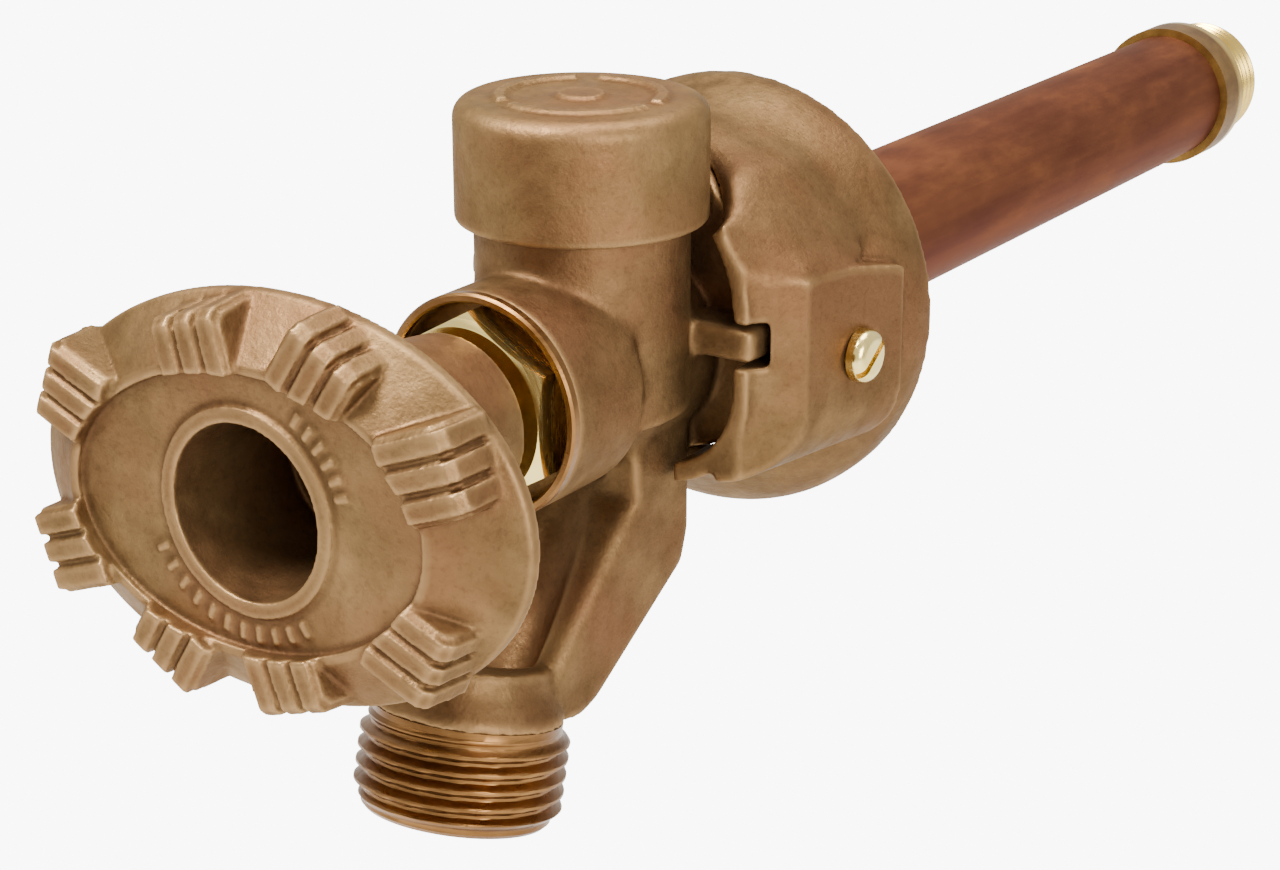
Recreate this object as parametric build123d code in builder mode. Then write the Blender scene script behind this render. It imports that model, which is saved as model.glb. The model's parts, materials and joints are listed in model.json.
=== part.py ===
"""Hose bib: freezeless anti-siphon wall faucet for 3/4 inch garden hose.

Millimetres, +Z up.  The origin is where the pipe's centre line meets the wall face: the head stands
in front of the wall (negative Y) and the casing tube runs back through it (positive Y).
"""
from build123d import *
from math import cos, sin, radians, hypot
import os

os.makedirs("parts", exist_ok=True)

# ---- driving dimensions ------------------------------------------------------------------------
fit = 0.05                     # running clearance on a radius

tube_r = 11.11                 # 3/4 inch nominal copper tube, 7/8 inch outside
tube_wall = 1.14
tube_start_y = -27.0
tube_end_y = 152.0

breaker_y = -39.0              # vertical axis of the vacuum breaker
cap_r = 16.3
cap_top_z = 34.9
cap_height = 15.7
neck_r = 13.9
neck_top_z = 31.0
o_ring_r = 12.4                # centre line of the seal in the neck's top face

boss_r = 14.6                  # round boss that holds the packing nut
boss_front_y = -62.0
boss_rear_y = -46.0
cup_r = 13.4
cup_depth = 3.5
packing_bore_r = 9.0

chamber_r = 7.5
rear_neck_r = 13.2
rear_neck_end_y = -12.0

nozzle_tilt = 14.4             # the hose nozzle leans forward, degrees from straight down
nozzle_end_y = -68.4
nozzle_end_z = -52.6
hose_major_r = 13.46           # 3/4-11.5 NH garden hose thread
hose_root_r = 12.35
hose_pitch = 2.209
hose_turns = 5
hose_bore_r = 8.8
duct_half_width = 9.6
duct_bore_r = 6.0

flange_r = 30.3
flange_rise = 0.8              # the bell's own axis sits this much above the pipe's
flange_wall = 2.6
flange_front_y = -34.0
opening_half_width = 19.4
opening_arch_z = 7.0
opening_foot_z = -14.0
shoulder_y = -27.0             # front of the body's shoulder inside that opening
shoulder_depth = 7.0
shoulder_gap = 0.2
lip_width = 2.4
hood_profile = [(21.8, -34.0), (21.8, -31.4), (22.6, -26.0), (24.0, -18.0), (25.4, -10.0), (25.6, -6.0)]
screw_r = 2.4
screw_head_r = 3.6
key_z = 3.9                    # height of the body's keys and the flange's notches
key_height = 4.6
notch_gap = 0.6                # clearance of the notches above and below the keys
screw_y = -17.0                # clamp screw of the flange

pipe_thread_r = 10.67          # 1/2-14 NPT male end
pipe_thread_root_r = 9.7
pipe_thread_pitch = 1.814
inlet_end_y = 167.0
collar_r = 12.5
collar_start_y = 148.0
collar_end_y = 155.5
seat_y = 146.0                 # face of the valve seat
inlet_bore_r = 5.5
solder_cup_r = 7.98
solder_cup_depth = 12.7

rod_r = 3.2
stem_r = 5.0
stem_thread_r = 6.0
stem_square = 7.0
stem_front_y = -84.6
hub_rear_y = -67.0
hub_rear_r = 11.0
lift = 6.0                     # how far the rod pulls the washer off its seat

face_y = -104.4                # flat face of the hand wheel
rim_y = -99.5
rim_a, rim_b = 35.5, 24.4      # half axes of the back rim
face_a, face_b = 25.2, 16.4    # half axes of the flat face
wheel_turn = 4.0               # degrees that the long axis is turned from level
recess_r = 10.5
recess_floor_y = -85.0
lobe_front_y = -107.0          # the grip lobes stand proud of the flat face
lobe_angles = (21, 58, 107, 159, 200, 238, 287, 335)

vertical_axis = Axis((0, breaker_y, 0), (0, 0, 1))
breaker_plane = Plane.XZ.offset(-breaker_y)

tilt_s, tilt_c = sin(radians(nozzle_tilt)), cos(radians(nozzle_tilt))
nozzle_end = Vector(0, nozzle_end_y, nozzle_end_z)
nozzle_up = Vector(0, tilt_s, tilt_c)
nozzle_section = Plane(origin=nozzle_end, x_dir=(1, 0, 0), z_dir=(0, -tilt_c, tilt_s))
nozzle_base = Plane(origin=nozzle_end, x_dir=(1, 0, 0), z_dir=nozzle_up)
nozzle_axis = Axis(nozzle_end, nozzle_up)


def across(y):
    """Sketch plane square to the pipe at y, seen from the front: local x is X, local y is Z."""
    return Plane(origin=(0, y, 0), x_dir=(1, 0, 0), z_dir=(0, -1, 0))


def turned(points, axis=Axis.Y, plane=Plane.XY):
    """A solid of revolution from (radius, station) points."""
    with BuildPart(mode=Mode.PRIVATE) as body:
        with BuildSketch(plane):
            with BuildLine():
                Polyline(*points, close=True)
            make_face()
        revolve(axis=axis)
    return body.part


def along_y(radius, y0, y1, mode=Mode.ADD):
    """A round bar (or bore) on the pipe's centre line from y0 to y1."""
    with Locations(Location((0, y0, 0), (-90, 0, 0))):
        Cylinder(radius, y1 - y0, align=(Align.CENTER, Align.CENTER, Align.MIN), mode=mode)


def upright(radius, z0, z1, mode=Mode.ADD):
    """A round bar (or bore) on the vacuum breaker's axis from z0 to z1."""
    with Locations((0, breaker_y, z0)):
        Cylinder(radius, z1 - z0, align=(Align.CENTER, Align.CENTER, Align.MIN), mode=mode)


def arch(half_width, arch_z, bottom_z):
    """Opening outline: straight sides, round head, rounded foot."""
    with BuildSketch(mode=Mode.PRIVATE) as outline:
        with BuildLine():
            Polyline((-half_width, arch_z), (-half_width, bottom_z), (half_width, bottom_z),
                     (half_width, arch_z))
            RadiusArc((half_width, arch_z), (-half_width, arch_z), -half_width)
        make_face()
        fillet(outline.vertices().group_by(Axis.Y)[0], half_width * 0.6)
    return outline.sketch


def save(piece, name):
    piece.part.label = name
    export_step(piece.part, f"parts/{name}.step")


# ---- valve body --------------------------------------------------------------------------------
nozzle_length = hose_pitch * hose_turns + 2.2


def thread_rings(root, crest, pitch, count, start):
    """Half section of ring threads from start upwards: sloping flanks with small flats."""
    points = []
    for turn in range(count):
        base = start + turn * pitch
        points += [(root, base), (crest, base + 0.32 * pitch), (crest, base + 0.55 * pitch),
                   (root, base + 0.87 * pitch)]
    return points


duct_outline = [(-42.0, -4.0), (-40.5, -17.0), (-60.5, -36.0), (-65.0, -42.0), (-57.6, -45.0),
                (-49.0, -42.5), (-41.0, -37.6), (-28.6, -30.0), (-27.0, -25.0), (-27.0, -6.0)]

# shoulder that fills the flange's opening, cut back round the breaker's cap
with BuildPart() as shoulder:
    with BuildSketch(across(shoulder_y)):
        add(arch(opening_half_width - shoulder_gap, opening_arch_z, opening_foot_z + shoulder_gap))
    extrude(amount=-shoulder_depth)
    upright(cap_r + 0.5, cap_top_z - cap_height - 0.3, cap_top_z, Mode.SUBTRACT)

with BuildPart() as valve_body:
    along_y(boss_r, boss_front_y, boss_rear_y)
    along_y(rear_neck_r, boss_rear_y, rear_neck_end_y)
    upright(neck_r, -6.0, neck_top_z)
    with BuildSketch(Plane.YZ) as duct_side:
        with BuildLine():
            Polyline(*duct_outline, close=True)
        make_face()
    extrude(amount=duct_half_width, both=True)
    duct_edges = valve_body.edges().filter_by(lambda e: abs(abs(e.center().X) - duct_half_width) < 0.01
                                              and e.center().Z < -17.0)
    fillet(duct_edges, 2.4)
    nozzle_points = [(0, 0), (hose_root_r - 0.6, 0), (hose_root_r, 0.6)]
    nozzle_points += thread_rings(hose_root_r, hose_major_r, hose_pitch, hose_turns, 0.9)
    nozzle_points += [(hose_root_r, nozzle_length), (hose_root_r - 0.2, nozzle_length + 1.2),
                      (10.3, nozzle_length + 4.2), (9.6, nozzle_length + 7.0), (0, nozzle_length + 7.0)]
    with BuildSketch(nozzle_section):
        with BuildLine():
            Polyline(*nozzle_points, close=True)
        make_face()
    revolve(axis=nozzle_axis)
    add(shoulder.part)
    # keys that the flange's notches slide over
    with BuildSketch(across(-33.5)):
        with Locations((0, key_z)):
            Rectangle(44.0, key_height)
    extrude(amount=-9.0)
    # bores: packing box, stem chamber, tube socket, breaker chamber, outlet passage, hose bore
    along_y(cup_r, boss_front_y, boss_front_y + cup_depth, Mode.SUBTRACT)
    along_y(packing_bore_r, boss_front_y, -42.0, Mode.SUBTRACT)
    along_y(chamber_r, -43.0, tube_start_y + 1.0, Mode.SUBTRACT)
    along_y(tube_r, tube_start_y, rear_neck_end_y, Mode.SUBTRACT)
    upright(6.0, 0.0, 10.0, Mode.SUBTRACT)
    upright(10.5, 9.0, neck_top_z, Mode.SUBTRACT)
    with BuildSketch(Plane(origin=(0, breaker_y, neck_top_z - 1.45))):
        Circle(o_ring_r + 0.75)
        Circle(o_ring_r - 0.75, mode=Mode.SUBTRACT)
    extrude(amount=1.45, mode=Mode.SUBTRACT)
    with BuildSketch(nozzle_base):
        Circle(hose_bore_r)
    extrude(amount=nozzle_length + 1.0, mode=Mode.SUBTRACT)
    passage_top = Vector(0, -37.0, -3.0)
    passage_foot = nozzle_end + nozzle_up * (nozzle_length - 1.0)
    with BuildSketch(Plane(origin=passage_foot, z_dir=passage_top - passage_foot)):
        Circle(duct_bore_r)
    extrude(amount=(passage_top - passage_foot).length, mode=Mode.SUBTRACT)
save(valve_body, "valve_body")

# ---- wall flange -------------------------------------------------------------------------------
flange_axis = Axis((0, 0, flange_rise), (0, 1, 0))
flange_profile = [(flange_r, 0), (flange_r + 0.1, -4.0), (flange_r - 1.6, -9.5), (flange_r - 4.8, -14.5),
                  (flange_r - 7.6, -19.0), (flange_r - 9.0, -24.5)]
pad_rear_y = -8.0
pad_top_z = 15.5
pad_bottom_z = -15.0
pad_x = 30.3                   # the cheek's outer face runs back from its crease to here
crease_x, crease_y = 27.0, -27.5
cheek_plan = [(17.0, flange_front_y), (20.6, flange_front_y), (crease_x, crease_y), (pad_x, pad_rear_y),
              (17.0, pad_rear_y)]
screw_seat_x = 28.6
cheek_slope = 5.5              # fall of the cheek's top from its front edge to the wall
web_foot = [(17.0, -33.6), (20.4, -33.6), (26.8, -27.9), (27.4, -12.0), (17.0, -12.0)]
web_head = [(10.0, -33.0), (12.4, -33.0), (13.8, -28.0), (17.6, -12.0), (10.0, -12.0)]
duct_slot_front_y = -35.0      # slot at the opening's foot that clears the outlet duct
duct_slot_length = 9.0

# cheek for the clamp screw: slanting front, flat outside, top sloping down to the wall, round below
with BuildPart() as cheek:
    with BuildSketch(Plane.XY.offset(pad_bottom_z)):
        with BuildLine():
            Polyline(*cheek_plan, close=True)
        make_face()
    extrude(amount=pad_top_z - pad_bottom_z)
    foot = cheek.edges().filter_by(lambda e: e.center().X > crease_x and e.center().Z < pad_bottom_z + 0.1)
    fillet(foot.sort_by(Axis.Y)[0:1], 9.0)
    with BuildSketch(Plane.YZ):
        with BuildLine():
            Polyline((flange_front_y - 1.0, pad_top_z), (pad_rear_y + 1.0, pad_top_z - cheek_slope),
                     (pad_rear_y + 1.0, pad_top_z + 1.0), (flange_front_y - 1.0, pad_top_z + 1.0),
                     close=True)
        make_face()
    extrude(amount=2 * pad_x, mode=Mode.SUBTRACT)

with BuildPart() as wall_flange:
    with BuildSketch(Plane.XY.offset(flange_rise)):
        with BuildLine():
            Spline(*flange_profile, tangents=[(0, -1), (-0.2, -1)])
            Polyline(flange_profile[-1], (0, flange_profile[-1][1]), (0, 0), flange_profile[0])
        make_face()
    revolve(axis=flange_axis)
    with BuildSketch(across(flange_front_y)):
        add(arch(opening_half_width + lip_width, opening_arch_z, opening_foot_z - lip_width))
    extrude(amount=flange_front_y + 10.0)
    # hood: the upper half swells round the opening's own centre
    with BuildSketch(Plane.XY.offset(opening_arch_z)):
        with BuildLine():
            Spline(*hood_profile)
            Polyline(hood_profile[-1], (0, hood_profile[-1][1]), (0, hood_profile[0][1]), hood_profile[0])
        make_face()
    revolve(axis=Axis((0, 0, opening_arch_z), (0, 1, 0)), revolution_arc=180)
    # web that runs the cheek up into the hood
    with BuildSketch(Plane.XY.offset(pad_top_z - 3.0)):
        with BuildLine():
            Polyline(*web_foot, close=True)
        make_face()
    with BuildSketch(Plane.XY.offset(pad_top_z + 10.0)):
        with BuildLine():
            Polyline(*web_head, close=True)
        make_face()
    loft(ruled=True)
    add(cheek.part)
    # hollow from the wall side
    with BuildSketch(Plane.XY.offset(flange_rise)):
        with BuildLine():
            Spline(*[(r - flange_wall, y) for r, y in flange_profile], tangents=[(0, -1), (-0.2, -1)])
            Polyline((flange_profile[-1][0] - flange_wall, flange_profile[-1][1]),
                     (0, flange_profile[-1][1]), (0, 0), (flange_r - flange_wall, 0))
        make_face()
    revolve(axis=flange_axis, mode=Mode.SUBTRACT)
    with BuildSketch(across(flange_front_y - 6.0)):
        add(arch(opening_half_width, opening_arch_z, opening_foot_z))
    extrude(amount=flange_front_y - 6.0 + 13.0, mode=Mode.SUBTRACT)
    with BuildSketch(across(flange_front_y - 6.0)):
        with Locations((0, key_z)):
            Rectangle(2 * opening_half_width + 8.0, key_height + 2 * notch_gap)
    extrude(amount=-16.0, mode=Mode.SUBTRACT)
    upright(cap_r + 1.6, cap_top_z - cap_height - 1.0, cap_top_z + 5.0, Mode.SUBTRACT)
    with BuildSketch(Plane.XY.offset(opening_foot_z + 2.0)):
        with Locations((0, duct_slot_front_y)):
            Rectangle(2 * duct_half_width + 1.6, duct_slot_length, align=(Align.CENTER, Align.MIN))
    extrude(amount=-12.0, mode=Mode.SUBTRACT)
    with BuildSketch(Plane.YZ.offset(rear_neck_r)):
        with Locations((screw_y, 0)):
            Circle(screw_r)
    extrude(amount=pad_x, mode=Mode.SUBTRACT)
    with BuildSketch(Plane.YZ.offset(screw_seat_x)):
        with Locations((screw_y, 0)):
            Circle(screw_head_r + 0.3)
    extrude(amount=4.0, mode=Mode.SUBTRACT)
save(wall_flange, "wall_flange")

# ---- casing tube and inlet fitting -------------------------------------------------------------
with BuildPart() as casing_tube:
    along_y(tube_r, tube_start_y, tube_end_y)
    along_y(tube_r - tube_wall, tube_start_y, tube_end_y, Mode.SUBTRACT)
save(casing_tube, "casing_tube")

with BuildPart() as inlet_fitting:
    male_points = [(0, tube_end_y), (collar_r, tube_end_y), (collar_r, collar_end_y),
                   (pipe_thread_root_r, collar_end_y + 0.3)]
    male_points += thread_rings(pipe_thread_root_r, pipe_thread_r, pipe_thread_pitch, 6, collar_end_y + 0.4)
    male_points += [(pipe_thread_root_r, inlet_end_y), (0, inlet_end_y)]
    add(turned(male_points))
    along_y(collar_r, collar_start_y, tube_end_y)
    along_y(tube_r, collar_start_y, tube_end_y, Mode.SUBTRACT)
    along_y(7.6, seat_y, tube_end_y)
    along_y(inlet_bore_r, seat_y, inlet_end_y, Mode.SUBTRACT)
    along_y(solder_cup_r, inlet_end_y - solder_cup_depth, inlet_end_y, Mode.SUBTRACT)
    front_circles = inlet_fitting.edges().filter_by(GeomType.CIRCLE).group_by(Axis.Y)[0]
    chamfer(front_circles.sort_by(SortBy.RADIUS)[-1], 0.6)
save(inlet_fitting, "inlet_fitting")

# ---- clamp screw of the flange -----------------------------------------------------------------
with BuildPart() as flange_screw:
    with BuildSketch(Plane.YZ.offset(rear_neck_r)):
        with Locations((screw_y, 0)):
            Circle(screw_r)
    extrude(amount=screw_seat_x - rear_neck_r)
    with BuildSketch(Plane.YZ.offset(screw_seat_x)):
        with Locations((screw_y, 0)):
            Circle(screw_head_r)
    extrude(amount=2.4)
    fillet(flange_screw.edges().filter_by(GeomType.CIRCLE).sort_by(Axis.X)[-1], 1.4)
    with BuildSketch(Plane.YZ.offset(screw_seat_x + 2.5)):
        with Locations((screw_y, 0)):
            Rectangle(8.0, 1.0, rotation=35)
    extrude(amount=-1.2, mode=Mode.SUBTRACT)
save(flange_screw, "flange_screw")

# ---- vacuum breaker ----------------------------------------------------------------------------
with BuildPart() as breaker_cap:
    upright(cap_r, cap_top_z - cap_height, cap_top_z)
    fillet(breaker_cap.edges().filter_by(GeomType.CIRCLE).sort_by(Axis.Z)[-1], 2.4)
    fillet(breaker_cap.edges().filter_by(GeomType.CIRCLE).sort_by(Axis.Z)[0], 0.8)
    upright(neck_r, cap_top_z - cap_height, neck_top_z, Mode.SUBTRACT)
    upright(3.4, 26.5, cap_top_z - 2.0)
    upright(1.5 + fit, 25.0, 31.5, Mode.SUBTRACT)
    # raised turn marks on the crown: a ring broken into three arcs round a small disc
    with BuildSketch(Plane(origin=(0, breaker_y, cap_top_z))):
        Circle(11.0)
        Circle(9.6, mode=Mode.SUBTRACT)
        with PolarLocations(0, 3):
            Rectangle(24.0, 3.0, align=(Align.MIN, Align.CENTER), mode=Mode.SUBTRACT)
        Circle(3.0)
    extrude(amount=0.5)
save(breaker_cap, "breaker_cap")

with BuildPart() as cap_o_ring:
    with BuildSketch(breaker_plane):
        with Locations((o_ring_r, neck_top_z - 0.7)):
            Circle(0.7)
    revolve(axis=vertical_axis)
save(cap_o_ring, "cap_o_ring")

seat_top_z = 14.0
with BuildPart() as breaker_seat:
    upright(10.5, 9.0, 13.0)
    upright(7.8, 13.0, seat_top_z)
    upright(6.0, 9.0, seat_top_z, Mode.SUBTRACT)
save(breaker_seat, "breaker_seat")

seal_base_z = seat_top_z + fit
with BuildPart() as poppet_seal:
    upright(8.4, seal_base_z, seal_base_z + 1.0)
    upright(2.0, seal_base_z, seal_base_z + 1.0, Mode.SUBTRACT)
save(poppet_seal, "poppet_seal")

poppet_top_z = 18.0
with BuildPart() as breaker_poppet:
    upright(2.0, seal_base_z - 1.2, seal_base_z + 1.0)
    upright(8.8, seal_base_z + 1.0, poppet_top_z)
    upright(1.5, poppet_top_z, 27.8)
    chamfer(breaker_poppet.edges().filter_by(GeomType.CIRCLE).sort_by(Axis.Z)[-1], 0.4)
save(breaker_poppet, "breaker_poppet")

spring_wire_r = 0.4
spring_r = 4.8
spring_turns = 5
spring_base_z = poppet_top_z + fit + spring_wire_r
spring_height = neck_top_z - fit - spring_wire_r - spring_base_z
with BuildPart() as breaker_spring:
    with BuildLine():
        Helix(spring_height / spring_turns, spring_height, spring_r, center=(0, breaker_y, spring_base_z))
    with BuildSketch(Plane(origin=(spring_r, breaker_y, spring_base_z), z_dir=(0, 1, 0))):
        Circle(spring_wire_r)
    sweep(is_frenet=True)
save(breaker_spring, "breaker_spring")

# ---- packing box -------------------------------------------------------------------------------
nut_front_y = boss_front_y - 2.5
cup_floor_y = boss_front_y + cup_depth
packing_y = -53.0
washer_y = -50.0
bush_y = -49.0
bush_shoulder_y = -42.0
bush_end_y = -38.0

with BuildPart() as packing_nut:
    with BuildSketch(across(nut_front_y)):
        RegularPolygon(11.1, 6, major_radius=False, rotation=30)
    extrude(amount=nut_front_y - cup_floor_y)
    with BuildSketch(Plane.XY):
        with BuildLine():
            Polyline((11.0, nut_front_y), (13.4, nut_front_y), (13.4, nut_front_y + 1.4), close=True)
        make_face()
    revolve(axis=Axis.Y, mode=Mode.SUBTRACT)
    along_y(packing_bore_r, cup_floor_y, packing_y)
    along_y(stem_r + fit, nut_front_y, packing_y, Mode.SUBTRACT)
save(packing_nut, "packing_nut")

with BuildPart() as packing_ring:
    along_y(packing_bore_r, packing_y, washer_y)
    along_y(stem_r + fit, packing_y, washer_y, Mode.SUBTRACT)
save(packing_ring, "packing_ring")

with BuildPart() as packing_washer:
    along_y(packing_bore_r, washer_y, bush_y)
    along_y(stem_r + fit, washer_y, bush_y, Mode.SUBTRACT)
save(packing_washer, "packing_washer")

with BuildPart() as stem_bush:
    along_y(packing_bore_r, bush_y, bush_shoulder_y)
    along_y(chamber_r, bush_shoulder_y, bush_end_y)
    along_y(stem_thread_r + fit, bush_y, bush_end_y, Mode.SUBTRACT)
save(stem_bush, "stem_bush")

# ---- stem, rod and valve plunger ---------------------------------------------------------------
stem_thread_y = bush_y + lift + 0.2
stem_rear_y = -31.0
rod_start_y = -36.0
rod_end_y = 136.4
plunger_y = 128.0
washer_face_y = seat_y - fit
washer_back_y = 142.0
clip_y = 131.0

with BuildPart() as stem:
    with BuildSketch(across(stem_front_y)):
        Rectangle(stem_square, stem_square, rotation=wheel_turn)
    extrude(amount=stem_front_y - hub_rear_y)
    along_y(stem_r, hub_rear_y, stem_rear_y)
    along_y(stem_thread_r, stem_thread_y, stem_thread_y + 8.0)
    along_y(rod_r, rod_start_y, stem_rear_y, Mode.SUBTRACT)
    along_y(2.0, stem_front_y, -75.0, Mode.SUBTRACT)
save(stem, "stem")

with BuildPart() as operating_rod:
    along_y(rod_r, rod_start_y, rod_end_y)
    with BuildSketch(across(clip_y)):
        Circle(rod_r + 1.0)
        Circle(2.6, mode=Mode.SUBTRACT)
    extrude(amount=-1.0, mode=Mode.SUBTRACT)
    chamfer(operating_rod.edges().filter_by(GeomType.CIRCLE).sort_by(Axis.Y)[-1], 0.5)
save(operating_rod, "operating_rod")

with BuildPart() as rod_guide:
    along_y(tube_r - tube_wall, 52.0, 60.0)
    along_y(rod_r + fit, 52.0, 60.0, Mode.SUBTRACT)
    with BuildSketch(across(52.0)):
        with PolarLocations(8.2, 3, start_angle=90):
            Circle(3.2)
    extrude(amount=-8.0, mode=Mode.SUBTRACT)
save(rod_guide, "rod_guide")

with BuildPart() as valve_plunger:
    along_y(7.0, plunger_y, washer_back_y)
    with BuildSketch(across(plunger_y)):
        with PolarLocations(0, 3, start_angle=90):
            Rectangle(tube_r - tube_wall - 0.25, 3.0, align=(Align.MIN, Align.CENTER))
    extrude(amount=plunger_y - washer_back_y)
    along_y(rod_r + fit, plunger_y, rod_end_y + 0.2, Mode.SUBTRACT)
    along_y(1.8, 139.0, washer_back_y, Mode.SUBTRACT)
    with BuildSketch(across(clip_y + fit)):
        Circle(5.5)
        Rectangle(8.0, 11.0, align=(Align.MIN, Align.CENTER))
    extrude(amount=-0.9, mode=Mode.SUBTRACT)
save(valve_plunger, "valve_plunger")

with BuildPart() as rod_clip:
    with BuildSketch(across(clip_y + fit)):
        Circle(5.4)
        Circle(2.6 + fit, mode=Mode.SUBTRACT)
        Rectangle(6.0, 3.6, align=(Align.MIN, Align.CENTER), mode=Mode.SUBTRACT)
    extrude(amount=-0.9)
save(rod_clip, "rod_clip")

with BuildPart() as seat_washer:
    along_y(8.0, washer_back_y, washer_face_y)
    along_y(1.8, washer_back_y, washer_face_y, Mode.SUBTRACT)
    rear_circles = seat_washer.edges().filter_by(GeomType.CIRCLE).group_by(Axis.Y)[-1]
    chamfer(rear_circles.sort_by(SortBy.RADIUS)[-1], 0.4)
save(seat_washer, "seat_washer")

with BuildPart() as washer_screw:
    along_y(1.8, 139.0, washer_face_y)
    along_y(3.6, washer_face_y, washer_face_y + 2.2)
    with BuildSketch(across(washer_face_y + 1.2)):
        Rectangle(8.0, 0.9)
    extrude(amount=-1.0, mode=Mode.SUBTRACT)
save(washer_screw, "washer_screw")


# ---- hand wheel --------------------------------------------------------------------------------
def ellipse_reach(a, b, angle):
    """Distance from the centre to the wheel's oval outline in the given direction."""
    turn = radians(angle - wheel_turn)
    return a * b / hypot(b * cos(turn), a * sin(turn))


def lobe_profile(angle, drop):
    """Side view of a grip lobe: nearly level in front, then square down past the skirt to the rim."""
    inner = ellipse_reach(face_a, face_b, angle)
    outer = ellipse_reach(rim_a, rim_b, angle) - drop - 0.7
    front = lobe_front_y + drop
    return [(inner - 1.5, face_y + 1.5), (inner - 0.8, front), (outer - 1.6, front + 0.3),
            (outer - 0.6, front + 1.4), (outer, rim_y), (outer - 1.0, rim_y + 1.4),
            (outer - 3.0, rim_y + 1.4)]


with BuildPart() as handle:
    with BuildSketch(across(rim_y)):
        Ellipse(rim_a, rim_b, rotation=wheel_turn)
    with BuildSketch(across(face_y - 1.0)):
        Ellipse(face_a + 1.0, face_b + 1.0, rotation=wheel_turn)
    loft()
    with BuildSketch(across(rim_y)):
        Ellipse(rim_a, rim_b, rotation=wheel_turn)
    extrude(amount=-1.6)
    for angle in lobe_angles:
        out = Vector(cos(radians(angle)), 0, sin(radians(angle)))
        side = Vector(-out.Z, 0, out.X)
        for offset_side, half_width, drop in ((-3.4, 1.2, 0), (0, 1.2, 0), (3.4, 1.2, 0), (0, 5.2, 0.7)):
            with BuildSketch(Plane(origin=side * offset_side, x_dir=out, z_dir=side)):
                with BuildLine():
                    Polyline(*lobe_profile(angle, drop), close=True)
                make_face()
            extrude(amount=half_width, both=True)
    # recessed flat face
    with BuildSketch(across(face_y)):
        Ellipse(face_a, face_b, rotation=wheel_turn)
    extrude(amount=4.0, mode=Mode.SUBTRACT)
    # hollow back of the dish
    with BuildSketch(across(rim_y + 1.6)):
        Ellipse(rim_a - 2.6, rim_b - 2.6, rotation=wheel_turn)
    with BuildSketch(across(face_y + 3.0)):
        Ellipse(face_a - 1.6, face_b - 1.6, rotation=wheel_turn)
    loft(mode=Mode.SUBTRACT)
    add(turned([(0, face_y + 1.0), (13.2, face_y + 1.0), (13.0, recess_floor_y), (hub_rear_r, hub_rear_y),
                (0, hub_rear_y)]))
    # thin ring round the recess and short generic raised bars above and below it
    along_y(12.4, face_y - 0.7, face_y + 0.5)
    with BuildSketch(across(face_y + 0.3)):
        for start, count, span in ((18, 6, 48), (208, 11, 104)):
            with PolarLocations(14.5, count, start_angle=start, angular_range=span):
                Rectangle(2.0, 0.9)
    extrude(amount=0.8)
    along_y(recess_r, face_y - 3.0, recess_floor_y, Mode.SUBTRACT)
    with BuildSketch(across(recess_floor_y - 1.0)):
        Rectangle(stem_square, stem_square, rotation=wheel_turn)
    extrude(amount=recess_floor_y - hub_rear_y - 1.0, mode=Mode.SUBTRACT)
save(handle, "handle")

with BuildPart() as handle_washer:
    along_y(6.5, recess_floor_y - 1.0, recess_floor_y)
    along_y(2.0, recess_floor_y - 1.0, recess_floor_y, Mode.SUBTRACT)
save(handle_washer, "handle_washer")

with BuildPart() as handle_screw:
    along_y(2.0, recess_floor_y - 1.0, -75.0)
    along_y(4.2, recess_floor_y - 3.8, recess_floor_y - 1.0)
    chamfer(handle_screw.edges().filter_by(GeomType.CIRCLE).sort_by(Axis.Y)[0], 0.8)
    with BuildSketch(across(recess_floor_y - 4.0)):
        Rectangle(9.0, 1.1, rotation=25)
    extrude(amount=-1.4, mode=Mode.SUBTRACT)
save(handle_screw, "handle_screw")
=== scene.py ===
"""Hose bib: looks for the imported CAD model.  Metres, the CAD's own frame, +Z up, wall at Y = 0."""

import json
import math

import bpy
import bmesh
import numpy as np
from mathutils import Matrix, Vector


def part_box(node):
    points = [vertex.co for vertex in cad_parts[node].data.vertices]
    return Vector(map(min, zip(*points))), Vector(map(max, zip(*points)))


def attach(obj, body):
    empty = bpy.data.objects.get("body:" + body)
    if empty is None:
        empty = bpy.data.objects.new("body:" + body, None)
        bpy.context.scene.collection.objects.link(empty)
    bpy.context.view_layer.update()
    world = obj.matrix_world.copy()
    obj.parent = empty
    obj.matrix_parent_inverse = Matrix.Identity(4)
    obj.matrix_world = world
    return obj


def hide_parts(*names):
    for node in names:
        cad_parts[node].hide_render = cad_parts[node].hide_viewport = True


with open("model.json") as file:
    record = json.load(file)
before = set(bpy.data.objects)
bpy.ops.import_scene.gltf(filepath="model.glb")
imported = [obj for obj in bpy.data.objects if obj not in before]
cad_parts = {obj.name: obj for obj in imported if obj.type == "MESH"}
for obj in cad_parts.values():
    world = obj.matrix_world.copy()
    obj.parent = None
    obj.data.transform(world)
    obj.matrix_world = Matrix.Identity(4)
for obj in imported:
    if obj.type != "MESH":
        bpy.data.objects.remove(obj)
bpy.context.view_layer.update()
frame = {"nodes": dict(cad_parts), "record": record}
nodes = frame["nodes"]
MM = 0.001
PIPE_AXIS = Vector((0, 1, 0))
NOZZLE_TILT = math.radians(14.4)
NOZZLE_AXIS = Vector((0, math.sin(NOZZLE_TILT), math.cos(NOZZLE_TILT)))
NOZZLE_MOUTH = Vector((0, -68.4 * MM, -52.6 * MM))
THREAD_TOP = 13.2 * MM          # the machined stretch of the nozzle, measured up from its mouth
CAST_GRAIN = 0.45 * MM          # spacing of the remeshed body and flange
FINE_GRAIN = 0.3 * MM           # spacing of the remeshed cap and wheel


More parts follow.
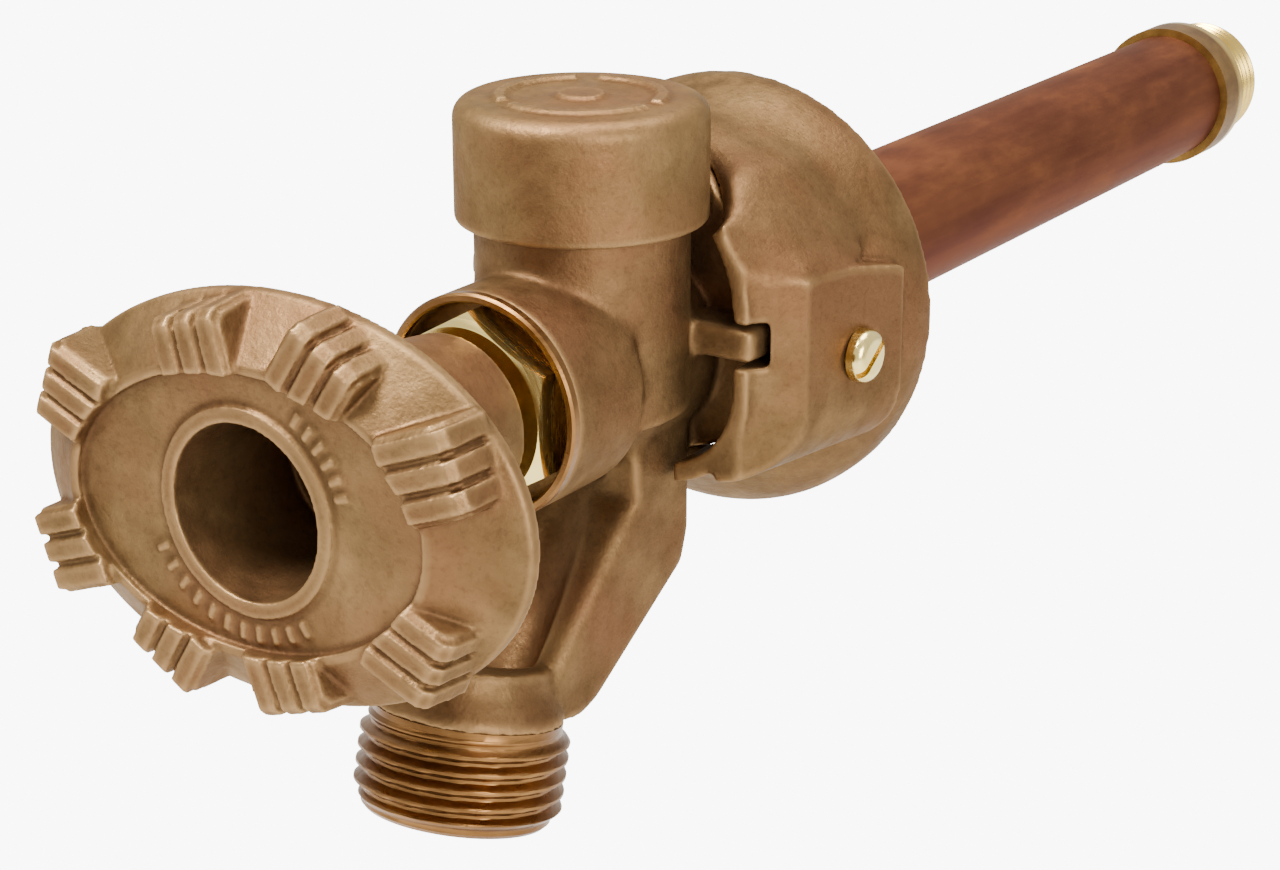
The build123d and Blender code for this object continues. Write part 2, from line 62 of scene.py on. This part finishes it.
# ---- camera, light and floor -------------------------------------------------------------------
def add_camera():
    """The viewpoint: in front of the wheel, to its right and above, turned and tipped by these angles."""
    turn, tip = math.radians(33.579), math.radians(19.678)
    right = Vector((math.cos(turn), math.sin(turn), 0))
    forward = Vector((-math.sin(turn) * math.cos(tip), math.cos(turn) * math.cos(tip), -math.sin(tip)))
    up = right.cross(forward)
    data = bpy.data.cameras.new("camera")
    data.sensor_width = 36.0
    data.lens = 76.49
    data.clip_start = 10 * MM
    camera = bpy.data.objects.new("camera", data)
    rotation = Matrix((right, up, -forward)).transposed().to_4x4()
    camera.matrix_world = Matrix.Translation((0.19179, -0.31456, 0.10971)) @ rotation
    bpy.context.collection.objects.link(camera)
    bpy.context.scene.camera = camera


def area_light(name, place, target, size, power):
    """A round lamp of the given width and watts at place, aimed at target."""
    data = bpy.data.lights.new(name, "AREA")
    data.shape = "DISK"
    data.size = size
    data.energy = power
    light = bpy.data.objects.new(name, data)
    light.location = place
    light.rotation_euler = (Vector(target) - Vector(place)).to_track_quat("-Z", "Y").to_euler()
    bpy.context.collection.objects.link(light)


def add_lights():
    """Three soft lamps and an even white surround."""
    centre = (0, -0.03, 0)
    area_light("key", (-0.25, -0.45, 0.75), centre, 0.35, 22.0)
    area_light("fill", (0.75, -0.45, 0.25), centre, 0.5, 9.0)
    area_light("top", (0.1, 0.15, 0.9), centre, 0.6, 12.0)
    world = bpy.data.worlds.new("studio")
    bpy.context.scene.world = world
    world.use_nodes = True
    background = world.node_tree.nodes["Background"]
    background.inputs["Color"].default_value = (1.0, 1.0, 1.0, 1.0)
    background.inputs["Strength"].default_value = 1.1


def add_floor():
    """A plain floor that the camera sees as white paper, and that lights the object as pale grey."""
    bpy.ops.mesh.primitive_plane_add(size=12.0, location=(0, 0, -0.16))
    floor = bpy.context.object
    floor.name = "floor"
    material = bpy.data.materials.new("floor_pale")
    material.use_nodes = True
    tree = material.node_tree
    shader = tree.nodes["Principled BSDF"]
    shader.inputs["Base Color"].default_value = (0.74, 0.74, 0.74, 1.0)
    shader.inputs["Roughness"].default_value = 0.9
    glow = tree.nodes.new("ShaderNodeEmission")
    glow.inputs["Strength"].default_value = 9.0
    blend = tree.nodes.new("ShaderNodeMixShader")
    tree.links.new(tree.nodes.new("ShaderNodeLightPath").outputs["Is Camera Ray"], blend.inputs["Fac"])
    tree.links.new(shader.outputs["BSDF"], blend.inputs[1])
    tree.links.new(glow.outputs["Emission"], blend.inputs[2])
    tree.links.new(blend.outputs["Shader"], tree.nodes["Material Output"].inputs["Surface"])
    floor.data.materials.append(material)


# ---- materials ---------------------------------------------------------------------------------
class Paint:
    """Builds one node material: a Principled shader with helpers for colour, roughness and bump."""

    def __init__(self, name, metallic, roughness, **sockets):
        """Further shader sockets are set by name, with _ for a space."""
        self.material = bpy.data.materials.new(name)
        self.material.use_nodes = True
        self.tree = self.material.node_tree
        self.shader = self.tree.nodes["Principled BSDF"]
        self.shader.inputs["Metallic"].default_value = metallic
        self.shader.inputs["Roughness"].default_value = roughness
        for socket, value in sockets.items():
            self.shader.inputs[socket.replace("_", " ")].default_value = value
        self.place = self.tree.nodes.new("ShaderNodeTexCoord").outputs["Object"]

    def link(self, a, b):
        self.tree.links.new(a, b)

    def noise(self, size, detail=4.0, rough=0.55, stretch=None):
        """Noise whose features are about size metres across."""
        node = self.tree.nodes.new("ShaderNodeTexNoise")
        node.inputs["Scale"].default_value = 1.0 / size
        node.inputs["Detail"].default_value = detail
        node.inputs["Roughness"].default_value = rough
        source = self.place
        if stretch:
            mapping = self.tree.nodes.new("ShaderNodeMapping")
            mapping.inputs["Scale"].default_value = stretch
            self.link(self.place, mapping.inputs["Vector"])
            source = mapping.outputs["Vector"]
        self.link(source, node.inputs["Vector"])
        return node.outputs["Fac"]

    def ramp(self, factor, stops):
        """Colours along factor from (position, colour) stops."""
        node = self.tree.nodes.new("ShaderNodeValToRGB")
        elements = node.color_ramp.elements
        while len(elements) < len(stops):
            elements.new(0.5)
        for element, (where, colour) in zip(elements, stops):
            element.position = where
            element.color = colour if len(colour) == 4 else (*colour, 1.0)
        self.link(factor, node.inputs["Fac"])
        return node.outputs["Color"]

    def mix(self, factor, a, b, blend="MIX"):
        """Blends colour b over colour a; each of the three is a socket or a fixed value."""
        node = self.tree.nodes.new("ShaderNodeMix")
        node.data_type = "RGBA"
        node.blend_type = blend
        for socket, value in (("Factor", factor), ("A", a), ("B", b)):
            target = [s for s in node.inputs if s.name == socket and s.enabled][0]
            if isinstance(value, bpy.types.NodeSocket):
                self.link(value, target)
            else:
                target.default_value = value if socket == "Factor" else (*value, 1.0)
        return [s for s in node.outputs if s.enabled][0]

    def spread(self, factor, low, high):
        """Maps noise from about 0.3..0.7 to low..high."""
        node = self.tree.nodes.new("ShaderNodeMapRange")
        node.inputs["From Min"].default_value = 0.3
        node.inputs["From Max"].default_value = 0.7
        node.inputs["To Min"].default_value = low
        node.inputs["To Max"].default_value = high
        self.link(factor, node.inputs["Value"])
        return node.outputs["Result"]

    def bump(self, *layers):
        """Layers of (height socket, depth in metres)."""
        normal = None
        for height, depth in layers:
            node = self.tree.nodes.new("ShaderNodeBump")
            node.inputs["Distance"].default_value = depth
            node.inputs["Strength"].default_value = 1.0
            self.link(height, node.inputs["Height"])
            if normal:
                self.link(normal, node.inputs["Normal"])
            normal = node.outputs["Normal"]
        self.link(normal, self.shader.inputs["Normal"])

    def colour(self, socket):
        self.link(socket, self.shader.inputs["Base Color"])

    def roughness(self, socket):
        self.link(socket, self.shader.inputs["Roughness"])


def cast_bronze(name, mid, light, dark):
    """Blasted sand casting: clouded, redder in patches, with painted shade darkening the hollows, and rubbed
    on the edges.
    """
    paint = Paint(name, 0.85, 0.5, Specular_Tint=(0.7, 0.62, 0.53, 1.0))
    red = (mid[0] * 1.12, mid[1] * 0.88, mid[2] * 0.95)
    cloud = paint.ramp(paint.noise(9 * MM, 6.0, 0.62), [(0.32, dark), (0.5, mid), (0.7, light)])
    patches = paint.ramp(paint.noise(21 * MM, 3.0), [(0.42, (0, 0, 0)), (0.68, (0.8, 0.8, 0.8))])
    cloud = paint.mix(patches, cloud, red)
    fleck = paint.ramp(paint.noise(0.8 * MM, 2.0), [(0.30, (0.72, 0.70, 0.68)), (0.48, (1, 1, 1))])
    cloud = paint.mix(0.55, cloud, fleck, "MULTIPLY")
    attribute = paint.tree.nodes.new("ShaderNodeAttribute")
    attribute.attribute_name = "bend"
    edge = attribute.outputs["Fac"]
    # painted shade: hollow parts of the surface are darkened and tinted purple as if shadowed
    painted_crease_shade = paint.ramp(edge, [(0.34, (0.42, 0.35, 0.33)), (0.48, (1, 1, 1))])
    cloud = paint.mix(0.8, cloud, painted_crease_shade, "MULTIPLY")
    worn = paint.ramp(edge, [(0.53, (0, 0, 0)), (0.66, (0.9, 0.9, 0.9))])
    paint.colour(paint.mix(worn, cloud, (light[0] * 1.35, light[1] * 1.35, light[2] * 1.4)))
    paint.roughness(paint.spread(paint.noise(3 * MM), 0.42, 0.60))
    paint.bump((paint.noise(0.5 * MM, 3.0), 0.06 * MM), (paint.noise(3.2 * MM, 4.0), 0.12 * MM))
    return paint.material


def turned_metal(name, mid, light, roughness, ring_axis, dull_before=None):
    """Machined metal with turning lines square to ring_axis; stained brown before station dull_before."""
    paint = Paint(name, 1.0, roughness)
    stretch = [1.0, 1.0, 1.0]
    stretch[ring_axis] = 40.0
    lines = paint.noise(8 * MM, 3.0, 0.5, stretch)
    colour = paint.ramp(paint.noise(9 * MM, 4.0), [(0.35, mid), (0.65, light)])
    rough = paint.spread(lines, roughness - 0.07, roughness + 0.1)
    if dull_before:
        split = paint.tree.nodes.new("ShaderNodeSeparateXYZ")
        paint.link(paint.place, split.inputs["Vector"])
        reach = paint.tree.nodes.new("ShaderNodeMapRange")
        reach.inputs["From Min"].default_value = dull_before - 1.2 * MM
        reach.inputs["From Max"].default_value = dull_before
        paint.link(split.outputs["XYZ"[ring_axis]], reach.inputs["Value"])
        brown = [(0.35, (0.12, 0.06, 0.016)), (0.65, (0.22, 0.12, 0.03))]
        stain = paint.ramp(paint.noise(5 * MM, 5.0), brown)
        colour = paint.mix(reach.outputs["Result"], stain, colour)
        rough = paint.tree.nodes.new("ShaderNodeMapRange")
        rough.inputs["To Min"].default_value = 0.5
        rough.inputs["To Max"].default_value = roughness
        paint.link(reach.outputs["Result"], rough.inputs["Value"])
        rough = rough.outputs["Result"]
    paint.colour(colour)
    paint.roughness(rough)
    paint.bump((lines, 0.01 * MM))
    return paint.material


def copper(name):
    """Dull drawn copper: stained in clouds that are drawn out along the tube."""
    paint = Paint(name, 0.75, 0.5, Specular_Tint=(0.5, 0.36, 0.28, 1.0), Specular_IOR_Level=0.3)
    stain = paint.noise(11 * MM, 6.0, 0.65, (1.0, 0.35, 1.0))
    streak = paint.noise(5 * MM, 4.0, 0.6, (1.0, 0.05, 1.0))
    base = paint.ramp(stain, [(0.3, (0.060, 0.020, 0.010)), (0.52, (0.112, 0.040, 0.020)),
                              (0.72, (0.22, 0.082, 0.034))])
    drawn = paint.ramp(streak, [(0.35, (0.052, 0.018, 0.010)), (0.65, (0.17, 0.062, 0.028))])
    paint.colour(paint.mix(0.35, base, drawn))
    paint.roughness(paint.spread(stain, 0.38, 0.55))
    paint.bump((streak, 0.02 * MM))
    return paint.material


def plain(name, metallic, roughness, a, b, size, depth):
    """Fine mottled finish between colours a and b for the small inner pieces."""
    paint = Paint(name, metallic, roughness)
    grain = paint.noise(size, 4.0)
    paint.colour(paint.ramp(grain, [(0.35, a), (0.65, b)]))
    paint.roughness(paint.spread(grain, max(roughness - 0.08, 0.05), roughness + 0.08))
    paint.bump((grain, depth))
    return paint.material


def make_materials():
    """One material for each slot of the record, and machined_bronze for the turned faces of the castings."""
    return {
        "cast_bronze": cast_bronze("cast_bronze", (0.13, 0.073, 0.028), (0.195, 0.113, 0.044),
                                   (0.09, 0.047, 0.016)),
        "cast_bronze_smooth": cast_bronze("cast_bronze_smooth", (0.158, 0.093, 0.035), (0.22, 0.133, 0.052),
                                          (0.122, 0.068, 0.024)),
        "cast_bronze_handle": cast_bronze("cast_bronze_handle", (0.146, 0.084, 0.032), (0.212, 0.125, 0.05),
                                          (0.108, 0.059, 0.021)),
        "machined_bronze": turned_metal("machined_bronze", (0.15, 0.07, 0.022), (0.24, 0.12, 0.04), 0.34, 2),
        "copper": copper("copper"),
        "polished_brass": turned_metal("polished_brass", (0.52, 0.33, 0.06), (0.72, 0.49, 0.11), 0.2, 1,
                                       dull_before=154.5 * MM),
        "bright_brass": turned_metal("bright_brass", (0.74, 0.55, 0.16), (0.85, 0.68, 0.26), 0.2, 1),
        "machined_brass": turned_metal("machined_brass", (0.52, 0.33, 0.12), (0.66, 0.46, 0.19), 0.3, 1),
        "white_plastic": plain("white_plastic", 0.0, 0.42, (0.74, 0.72, 0.68), (0.80, 0.79, 0.75),
                               6 * MM, 0.01 * MM),
        "spring_steel": plain("spring_steel", 1.0, 0.28, (0.50, 0.50, 0.52), (0.62, 0.62, 0.64),
                              2 * MM, 0.004 * MM),
        "stainless_steel": plain("stainless_steel", 1.0, 0.3, (0.50, 0.49, 0.48), (0.64, 0.63, 0.62),
                                 3 * MM, 0.006 * MM),
        "black_rubber": plain("black_rubber", 0.0, 0.6, (0.012, 0.012, 0.012), (0.03, 0.03, 0.03),
                              1.5 * MM, 0.02 * MM),
        "graphite_packing": plain("graphite_packing", 0.2, 0.55, (0.03, 0.03, 0.033), (0.08, 0.08, 0.085),
                                  1 * MM, 0.05 * MM),
    }


def dress(obj, material):
    """Gives the object this one material."""
    obj.data.materials.clear()
    obj.data.materials.append(material)


# ---- pieces ------------------------------------------------------------------------------------
def new_piece(name, mesh, body, slot, *stands_for, look=None):
    """Puts a finished mesh in the scene: it rides on a body and stands for the CAD nodes named.

    It wears the material of its slot, unless look names another."""
    piece = bpy.data.objects.new(name, mesh)
    bpy.context.collection.objects.link(piece)
    dress(piece, materials[look or slot])
    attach(piece, body)
    if stands_for:
        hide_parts(*stands_for)
    return piece


def apply_modifiers(obj):
    """The object's mesh with its modifiers applied; the object itself is removed."""
    graph = bpy.context.evaluated_depsgraph_get()
    mesh = bpy.data.meshes.new_from_object(obj.evaluated_get(graph))
    bpy.data.objects.remove(obj)
    return mesh


def stand_in(mesh):
    """A passing object that carries a mesh while modifiers work on it."""
    obj = bpy.data.objects.new("stand_in", mesh)
    bpy.context.collection.objects.link(obj)
    return obj


def cut_mesh(node_name, cutters=()):
    """A welded copy of a CAD node's mesh with the closed cutter meshes, if any, taken away."""
    bm = bmesh.new()
    bm.from_mesh(nodes[node_name].data)
    bmesh.ops.remove_doubles(bm, verts=bm.verts, dist=0.002 * MM)
    mesh = bpy.data.meshes.new(node_name + "_cut")
    bm.to_mesh(mesh)
    bm.free()
    for cutter in cutters:
        stand, tool = stand_in(mesh), stand_in(cutter)
        cut = stand.modifiers.new("cut", "BOOLEAN")
        cut.operation = "DIFFERENCE"
        cut.solver = "EXACT"
        cut.object = tool
        mesh = apply_modifiers(stand)
        bpy.data.objects.remove(tool)
    return mesh


def drum(origin, axis, radius, low, high):
    """A plain cylinder for cutting with, between stations low and high of the axis."""
    core = 0.01 * MM
    return lathe("drum", [(core, low), (radius, low), (radius, high), (core, high)], origin, axis, 64)


def soften(mesh, voxel, rounds, melt=None, melt_rounds=0):
    """Cast look: remeshes a closed mesh evenly and rounds its edges off.

    Where melt(point) is near 1 the surface is smoothed melt_rounds times more."""
    stand = stand_in(mesh)
    remesh = stand.modifiers.new("remesh", "REMESH")
    remesh.mode = "VOXEL"
    remesh.voxel_size = voxel
    remesh.use_smooth_shade = True
    smooth = stand.modifiers.new("smooth", "SMOOTH")
    smooth.factor = 0.5
    smooth.iterations = rounds
    soft = apply_modifiers(stand)
    if melt:
        stand = stand_in(soft)
        group = stand.vertex_groups.new(name="melt")
        for vertex in soft.vertices:
            group.add([vertex.index], melt(vertex.co), "REPLACE")
        smooth = stand.modifiers.new("melt", "SMOOTH")
        smooth.factor = 0.5
        smooth.iterations = melt_rounds
        smooth.vertex_group = "melt"
        soft = apply_modifiers(stand)
    for face in soft.polygons:
        face.use_smooth = True
    store_bend(soft, voxel)
    return soft


def store_bend(mesh, spacing):
    """Saves in "bend" how convex (above 0.5) or hollow (below 0.5) the surface is."""
    rounds, own_share, gain = 5, 0.4, 2.0
    count = len(mesh.vertices)
    place, normal = np.empty(3 * count), np.empty(3 * count)
    ends = np.empty(2 * len(mesh.edges), dtype=np.int64)
    mesh.vertices.foreach_get("co", place)
    mesh.vertices.foreach_get("normal", normal)
    mesh.edges.foreach_get("vertices", ends)
    place, normal, ends = place.reshape(-1, 3), normal.reshape(-1, 3), ends.reshape(-1, 2)
    degree = np.bincount(ends.ravel(), minlength=count).clip(1)

    def average(values):
        """Each vertex's mean over the vertices that share an edge with it."""
        totals = []
        for column in values.reshape(count, -1).T:
            totals.append(np.bincount(ends[:, 0], column[ends[:, 1]], count)
                          + np.bincount(ends[:, 1], column[ends[:, 0]], count))
        return (np.stack(totals, axis=1) / degree[:, None]).reshape(values.shape)

    bend = ((place - average(place)) * normal).sum(axis=1) / spacing
    for _ in range(rounds):
        bend = own_share * bend + (1.0 - own_share) * average(bend)
    layer = mesh.attributes.new("bend", "FLOAT", "POINT")
    layer.data.foreach_set("value", (0.5 + gain * bend).clip(0.0, 1.0).astype(np.float32))


def rise(value, start, end):
    """0 before start and 1 after end, straight between them."""
    return min(max((value - start) / (end - start), 0.0), 1.0)


def hood_melt(point):
    """The hood over the flange's opening flows into the cheek, but the opening's lip stays crisp."""
    x, y, z = point / MM
    arch_centre_z = 7.0
    above_cheek = rise(z, 12.0, 16.0)
    behind_front = rise(y, -34.0, -31.5) * rise(y, -3.0, -7.0)
    outside_lip = rise(math.hypot(x, z - arch_centre_z), 19.6, 20.8)
    return above_cheek * behind_front * outside_lip


def neck_melt(point):
    """The boss, the rear neck and the outlet duct flow into the upright neck."""
    _, y, z = point / MM
    along_pipe = rise(y, -56.0, -52.0) * rise(y, -28.0, -31.0)
    below_cap = rise(z, 18.0, 16.0) * rise(z, -46.0, -42.0)
    return along_pipe * below_cap


def lathe(name, profile, origin, axis, steps=128, radius_at=None):
    """A closed ring from (radius, station) points; radius_at may change the radius round the turn."""
    sharp = math.radians(32)
    side = Vector((1, 0, 0))
    up = axis.cross(side)
    bm = bmesh.new()
    rings = []
    for index, (radius, station) in enumerate(profile):
        ring = []
        for step in range(steps):
            turn = 2 * math.pi * step / steps
            reach = radius_at(index, radius, station, turn) if radius_at else radius
            out = side * math.cos(turn) + up * math.sin(turn)
            ring.append(bm.verts.new(origin + axis * station + out * reach))
        rings.append(ring)
    for ring, following in zip(rings, rings[1:] + rings[:1]):
        for step in range(steps):
            after = (step + 1) % steps
            bm.faces.new((ring[step], ring[after], following[after], following[step]))
    bmesh.ops.recalc_face_normals(bm, faces=bm.faces)
    for edge in bm.edges:
        edge.smooth = edge.calc_face_angle(0.0) < sharp
    for face in bm.faces:
        face.smooth = True
    mesh = bpy.data.meshes.new(name)
    bm.to_mesh(mesh)
    bm.free()
    return mesh


def threaded(name, origin, axis, root, crest, pitch, first, last, end, bore):
    """A sleeve with a helical thread between stations first and last; it is bored through."""
    steps_per_pitch, steepness, flat = 18, 3.4, 0.35
    edge = 0.5 * MM
    count = int((last - first) / (pitch / steps_per_pitch))
    stations = [first + (last - first) * k / count for k in range(count + 1)]
    profile = [(bore + edge, 0.0), (root - edge, 0.0), (root, edge)]
    start = len(profile)
    profile += [(root, station) for station in stations]
    profile += [(root, end), (bore, end), (bore, edge)]

    def thread(index, radius, station, turn):
        if not start <= index < start + len(stations):
            return radius
        phase = ((station - first) / pitch - turn / (2 * math.pi)) % 1.0
        flank = min(max((0.5 - abs(phase - 0.5)) * steepness - flat, 0.0), 1.0)
        fade = min((station - first) / (0.6 * pitch), (last - station) / (0.8 * pitch), 1.0)
        return radius + (crest - root) * flank * max(fade, 0.0)

    return lathe(name, profile, origin, axis, 144, thread)


def make_body():
    """The bronze casting, with its turned nozzle and boss rim cut off and put back as crisp pieces."""
    nut_recess = 2.5 * MM
    rim_depth = 1.2 * MM
    boss_centre = Vector((0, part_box("packing_nut")[0][1] + nut_recess, 0))
    nozzle_cut = drum(NOZZLE_MOUTH, NOZZLE_AXIS, 16 * MM, -2 * MM, THREAD_TOP)
    rim_cut = drum(boss_centre, PIPE_AXIS, 18 * MM, -3 * MM, rim_depth)
    body = soften(cut_mesh("valve_body", [nozzle_cut, rim_cut]), CAST_GRAIN, 8, neck_melt, 24)
    new_piece("body_casting", body, "head", "cast_bronze", "valve_body")
    nozzle = threaded("hose_thread", NOZZLE_MOUTH, NOZZLE_AXIS, root=12.2 * MM, crest=13.46 * MM,
                      pitch=2.209 * MM, first=0.9 * MM, last=12.6 * MM, end=13.4 * MM, bore=8.8 * MM)
    new_piece("hose_nozzle", nozzle, "head", "machined_brass", look="machined_bronze")
    ring = [(13.4, 0.25), (13.65, 0.0), (14.3, 0.0), (14.6, 0.3), (14.6, 1.3), (13.4, 1.3)]
    rim = lathe("boss_rim", [(radius * MM, station * MM) for radius, station in ring], boss_centre, PIPE_AXIS)
    new_piece("boss_rim", rim, "head", "machined_brass", look="machined_bronze")


def make_flange():
    """The cast wall flange; its hood is melted into the shape below it."""
    flange = soften(cut_mesh("wall_flange"), CAST_GRAIN, 8, hood_melt, 500)
    new_piece("flange_casting", flange, "head", "cast_bronze", "wall_flange")


def make_tube():
    """The copper tube, turned smoothly from the CAD tube's own box."""
    low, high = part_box("casing_tube")
    outer = (high[2] - low[2]) / 2
    inner = outer - 1.14 * MM
    length = high[1] - low[1]
    wall = [(inner, 0.0), (outer, 0.0), (outer, length), (inner, length)]
    tube = lathe("tube", wall, Vector((0, low[1], 0)), PIPE_AXIS, 160)
    new_piece("drawn_tube", tube, "head", "copper", "casing_tube")


def make_cap_and_wheel():
    """The two smaller castings."""
    new_piece("cap_casting", soften(cut_mesh("breaker_cap"), FINE_GRAIN, 4), "head", "cast_bronze_smooth",
              "breaker_cap")
    new_piece("wheel_casting", soften(cut_mesh("handle"), FINE_GRAIN, 4), "wheel", "cast_bronze_handle",
              "handle")


add_camera()
add_lights()
add_floor()
materials = make_materials()
slots = {row["node"]: row["material_slot"] for row in frame["record"]["subparts"]}
for node_name, node in nodes.items():
    dress(node, materials[slots[node_name]])
make_body()
make_flange()
make_tube()
make_cap_and_wheel()
